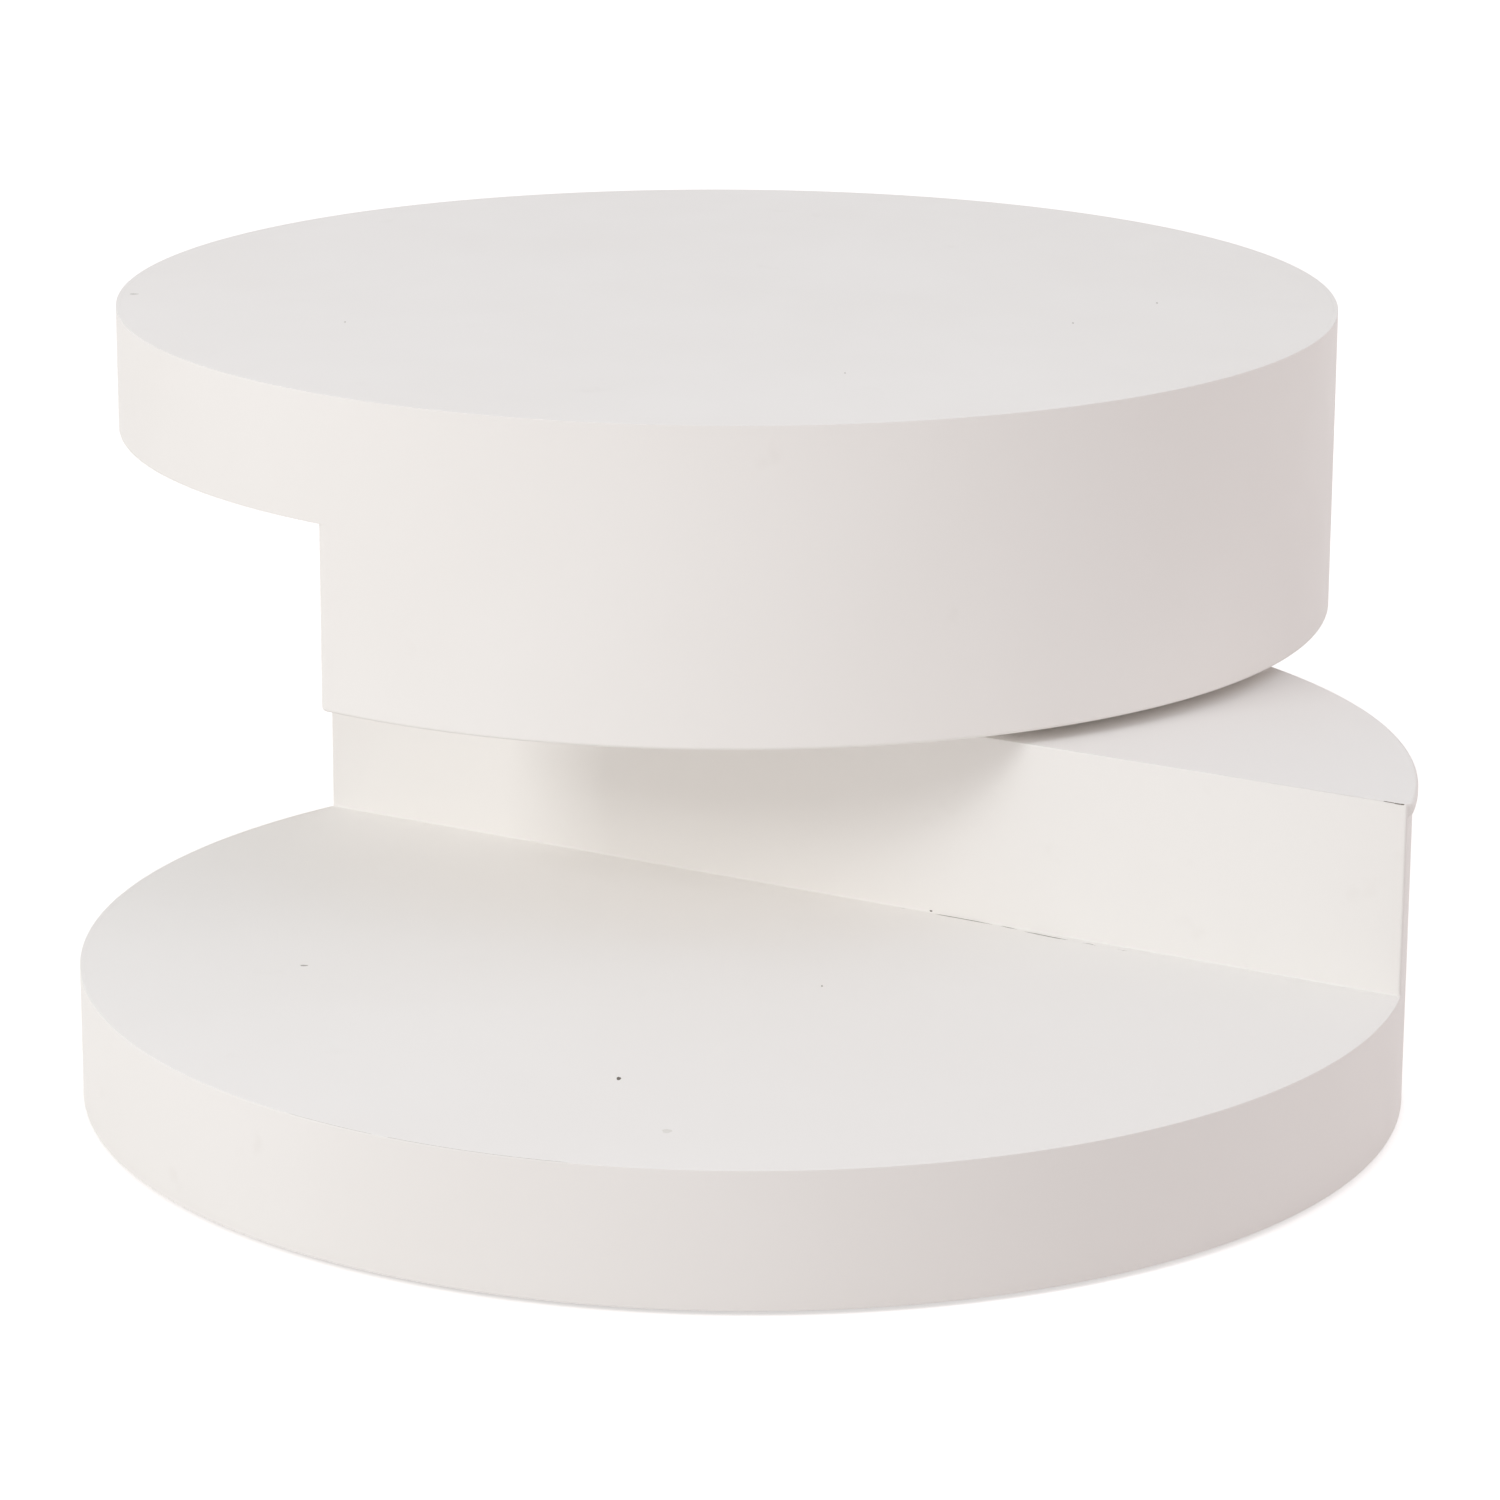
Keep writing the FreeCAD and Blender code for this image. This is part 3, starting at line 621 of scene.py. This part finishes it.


# Scars, and dark strips of painted shade along cracks. Each stands a little out of the surface, with its foot sunk
# below it.

NICK_POINTS = 11
NICK_DEPTH = 0.3 * MM
NICK_CROWN = 0.08 * MM
NICK_COARSE = 0.1
NICK_FINE = 0.08
HAIRLINE_END = 0.15


def nicks(spots, normal):
    """Small ragged scars on a flat surface, each given as a place, half width and half length."""
    skin = bmesh.new()
    across = (CAMERA_RIGHT - CAMERA_RIGHT.dot(normal) * normal).normalized()
    along = normal.cross(across)
    for count, (place, wide, long) in enumerate(spots):
        ring = []
        for turn in turns(0, math.tau, NICK_POINTS)[:-1]:
            coarse = NICK_COARSE * math.sin(3 * turn + count + 1)
            fine = NICK_FINE * math.sin(5 * turn + 2 * count)
            out = wide * math.cos(turn) * across + long * math.sin(turn) * along
            ring.append(place + (1 + coarse + fine) * out)
        rim = [skin.verts.new(point) for point in ring]
        foot = [skin.verts.new(point - NICK_DEPTH * normal) for point in ring]
        crown = skin.verts.new(place + NICK_CROWN * normal)
        for first in range(len(rim)):
            skin.faces.new((rim[first], rim[(first + 1) % len(rim)], crown))
        bridge(skin, foot, rim)
        skin.faces.new(reversed(foot))
    return skin


def painted_crack_shade(routes, normal):
    """Dark strips of painted shade, with dirt, along hairline cracks of a flat surface, each given as its points
    and its height.
    """
    skin = bmesh.new()
    for points, tall in routes:
        last = len(points) - 1
        sections = []
        for count, point in enumerate(points):
            before = points[max(count - 1, 0)]
            after = points[min(count + 1, last)]
            side = (after - before).cross(normal).normalized()
            share = HAIRLINE_END if count in (0, last) else 1.0
            crown = point + tall * share * normal
            foot = point - tall * normal
            sections.append((crown, foot + side * tall, foot - side * tall))
        loft(sections, skin=skin)
    return skin


# The lower unit. Its marks are given by pixels of the photograph.

DECK_TOP = LIFT + DISC
EDGE_CRACKS = (
    ((282, 1116), (368, 1137), 0.11 * MM),
    ((379, 1139), (565, 1166), 0.13 * MM),
)
EDGE_CRACK_STEPS = 24
FOOT_CRACKS = (
    (((898, 907), (905, 907.5), (912, 908)), 0.08 * MM),
    (((936, 914), (943, 915), (952, 915.5), (962, 918), (976, 921.5), (992, 924.5)), 0.26 * MM),
    (((1001, 926), (1008, 927.5), (1017, 929.5)), 0.24 * MM),
    (((1024, 931.5), (1036, 934), (1048, 936.5), (1058, 938.5), (1068, 940)), 0.28 * MM),
    (((1083, 943), (1090, 944), (1096, 945.5)), 0.16 * MM),
    (((1118, 949.5), (1123, 950.5), (1128, 951)), 0.08 * MM),
)
DECK_CHIPS = (((618.7, 1078.5), 1.3 * MM, 2.9 * MM),)
FACE_CHIPS = (((931, 911), 1.0 * MM, 0.55 * MM),)
DECK_SMUDGES = (((667, 1131), 2.8 * MM, 3.2 * MM),)
DECK_SCRATCHES = (
    ((304, 965.5), 2.4 * MM, 1.3 * MM),
    ((822, 986), 0.6 * MM, 1.6 * MM),
)
PANEL_END = math.sqrt(RADIUS**2 - FACE**2)
LID_SEAM = 130 * MM
LID_SEAM_WIDTH = 0.16 * MM
LID_CRACK = 13 * MM
LID_CRACK_END = 2.5 * MM
LID_CRACK_THIN = 0.2 * MM
LID_CRACK_HEIGHT = 0.4 * MM
LID_CRACK_STEPS = 6


def bearing(point):
    """A point's angle round the disc's middle, between 0 and a full turn."""
    return math.atan2(point.y, point.x) % math.tau


def scars(spots, height):
    """Skin of the scars on a level surface, each given by its pixel, half width and half length."""
    return nicks([(seen_at(pixel, height), wide, long) for pixel, wide, long in spots], UP)


def face_scars(spots):
    """The same for the lower unit's flat face."""
    return nicks([(seen_on_face(pixel), wide, long) for pixel, wide, long in spots], FRONT)


def foot_crack_shade():
    """Painted shade, with dirt, along hairline cracks on the deck at the toe of the filler."""
    routes = []
    for pixels, tall in FOOT_CRACKS:
        points = [seen_at(pixel, DECK_TOP) for pixel in pixels]
        routes.append(([Vector((x, min(y, FACE - BEAD), z)) for x, y, z in points], tall))
    return painted_crack_shade(routes, UP)


def lid_crack_shade():
    """Painted shade, with dirt, in the crack of the seam of lid and flat face near its right end: thin at first,
    then wider.
    """
    end = PANEL_END - LID_CRACK_END
    start = end - LID_CRACK
    middle = end - LID_CRACK / 2
    routes = []
    for first, last, tall in ((start, middle, LID_CRACK_THIN), (middle, end, LID_CRACK_HEIGHT)):
        height = LIFT + UNIT - tall
        routes.append(([Vector((x, FACE, height)) for x in turns(first, last, LID_CRACK_STEPS)], tall))
    return painted_crack_shade(routes, FRONT)


def edge_crack_shade():
    """Painted shade, with dirt, along hairline cracks at the deck's edge, at the front left."""
    routes = []
    for start, end, tall in EDGE_CRACKS:
        first, last = (bearing(seen_at(pixel, DECK_TOP)) for pixel in (start, end))
        ring = on_circle(RADIUS - RIM_ARRIS, turns(first, last, EDGE_CRACK_STEPS))
        routes.append(([Vector((x, y, DECK_TOP)) for x, y in ring], tall))
    return painted_crack_shade(routes, UP)


seam = (PANEL_END - LID_SEAM, PANEL_END + LID_SEAM / 2, LID_SEAM_WIDTH)
deck_skin = skin_board(DISC - SKIN_DECK, DISC)
face_skin = flat_panel(FACE_CORNER, LID_ARRIS, seam)
lid_skin = cap_board(LID_RADIUS - RADIUS, LID_LIP, LID_CORNER, LID_NOSE, LID_ARRIS)

make_piece("base_rim", band(FACE_CORNER), "base", LOWER, stands_for=["base_band"])
make_piece("deck_board", deck_skin, "base", LOWER, stands_for=["base_deck"])
make_piece("block_face", face_skin, "base", LOWER, stands_for=["block_front_panel"])
make_piece("lid_board", lid_skin, "base", LOWER, stands_for=["block_lid"])
make_piece("block_foot_filler", filler_bead(FACE_CORNER, phase=0.0), "base", LOWER)
# Dark strips of painted shade, with dirt, along the cracks at the block's foot, the lid seam and the deck's edge.
make_mark("block_foot_crack_shade", foot_crack_shade(), "base", chip_dirt_and_crack_shade)
make_mark("lid_seam_crack_shade", lid_crack_shade(), "base", chip_dirt_and_crack_shade)
make_mark("deck_edge_crack_shade", edge_crack_shade(), "base", scratches_and_seam_shade)
make_mark("deck_smudge", scars(DECK_SMUDGES, DECK_TOP), "base", smudged)
make_mark("deck_chips", scars(DECK_CHIPS, DECK_TOP), "base", chip_dirt_and_crack_shade)
make_mark("face_chips", face_scars(FACE_CHIPS), "base", chip_dirt_and_crack_shade)
make_mark("deck_scratches", scars(DECK_SCRATCHES, DECK_TOP), "base", scratches_and_seam_shade)


# The upper unit

TOP_SCRATCHES = (
    ((134, 294), 3.0 * MM, 1.2 * MM),
    ((1073, 323), 0.6 * MM, 1.6 * MM),
    ((1157, 303), 0.6 * MM, 1.8 * MM),
    ((345, 322), 0.6 * MM, 1.6 * MM),
    ((845, 373), 0.5 * MM, 1.4 * MM),
)

top_skin = skin_board(0, SKIN_TOP)
underside_skin = skin_board(DISC - SKIN_UNDERSIDE, DISC)
hanging_face_skin = flat_panel(HANGING_CORNER, HANGING_ARRIS)
hanging_base_skin = cap_board(0, UNIT - CAP_LOW, HANGING_CORNER, HANGING_NOSE, HANGING_ARRIS)

make_piece("top_rim", band(HANGING_CORNER), "top", UPPER, stands_for=["top_band"])
make_piece("top_board", top_skin, "top", UPPER, stands_for=["top_panel"])
make_piece("underside_board", underside_skin, "top", UPPER, stands_for=["top_underside_panel"])
make_piece("hanging_face", hanging_face_skin, "top", UPPER, stands_for=["hanging_face_panel"])
make_piece("hanging_base", hanging_base_skin, "top", UPPER, stands_for=["hanging_block_base"])
make_piece("hanging_foot_filler", filler_bead(HANGING_CORNER, phase=1.7), "top", UPPER)
make_mark("top_scratches", scars(TOP_SCRATCHES, TOP_CENTRE.z), "top", scratches_and_seam_shade)


# Floor and light. Lengths are in metres and the power in watts.

FLOOR_HALF = 40.0
FLOOR_COLOUR = (0.70, 0.67, 0.66, 1)
FLOOR_GLOW = 0.6
WHITE = (1, 1, 1, 1)
KEY_AIM = Vector((0.0, 0.1, 0.15))
KEY_AWAY = 4.5
KEY_WIDTH = 1.45
KEY_HEIGHT = math.radians(30)
KEY_BEARING = Vector((-0.3315, -0.9434))
KEY_POWER = 59.1
KEY_COLOUR = (0.989, 1.0, 0.995)
ROOM_EVEN = (0.402, 0.348, 0.309)
ROOM_LEFT = (0.474, 0.474, 0.440)
ROOM_RIGHT = (0.718, 0.634, 0.630)
ROOM_ABOVE = (0.114, 0.198, 0.277)
LIGHT_BOUNCES = 12


def make_floor():
    """A pale floor that shows white to the camera where no shadow lies on it."""
    mesh = bpy.data.meshes.new("studio_floor")
    corners = [(x * FLOOR_HALF, y * FLOOR_HALF, 0) for x, y in ((-1, -1), (1, -1), (1, 1), (-1, 1))]
    mesh.from_pydata(corners, [], [(0, 1, 2, 3)])
    floor = bpy.data.objects.new("studio_floor", mesh)
    bpy.context.scene.collection.objects.link(floor)
    tree = Finish("studio_floor")
    tree.set(Base_Color=FLOOR_COLOUR, Roughness=0.9, Specular_IOR_Level=0.1)
    glow = tree.math("MULTIPLY", tree.shown(), FLOOR_GLOW)
    mesh.materials.append(tree.set(Emission_Color=WHITE, Emission_Strength=glow))


def make_room():
    """A room with a pale ceiling and pale walls to the left and right, which the camera sees as white."""
    world = bpy.data.worlds.new("studio_room")
    world.use_nodes = True
    bpy.context.scene.world = world
    tree = Nodes(world.node_tree)
    direction = tree.add("ShaderNodeTexCoord").outputs["Generated"]
    light = ROOM_EVEN
    for side, colour in ((-CAMERA_RIGHT, ROOM_LEFT), (CAMERA_RIGHT, ROOM_RIGHT), (UP, ROOM_ABOVE)):
        share = tree.math("MAXIMUM", tree.dot(direction, side), 0)
        light = tree.vector_math("MULTIPLY_ADD", colour, share, light)
    room = tree.nodes["Background"]
    tree.feed(room.inputs["Color"], light)
    white = tree.add("ShaderNodeBackground")
    white.inputs["Color"].default_value = WHITE
    shaders = room.outputs["Background"], white.outputs["Background"]
    chosen = tree.add("ShaderNodeMixShader")
    for socket, value in zip(chosen.inputs, (tree.shown(), *shaders)):
        tree.feed(socket, value)
    tree.feed(tree.nodes["World Output"].inputs["Surface"], chosen.outputs["Shader"])


def make_softbox():
    light = bpy.data.lights.new("softbox", "AREA")
    light.shape = "SQUARE"
    light.size = KEY_WIDTH
    light.energy = KEY_POWER
    light.color = KEY_COLOUR
    lamp = bpy.data.objects.new("softbox", light)
    bpy.context.scene.collection.objects.link(lamp)
    level = KEY_BEARING.normalized() * math.cos(KEY_HEIGHT)
    towards = Vector((level.x, level.y, math.sin(KEY_HEIGHT)))
    lamp.location = KEY_AIM + towards * KEY_AWAY
    lamp.rotation_euler = (-towards).to_track_quat("-Z", "Y").to_euler()


make_floor()
make_room()
make_softbox()
make_camera()
bpy.context.scene.view_settings.view_transform = "Standard"
bpy.context.scene.cycles.diffuse_bounces = LIGHT_BOUNCES
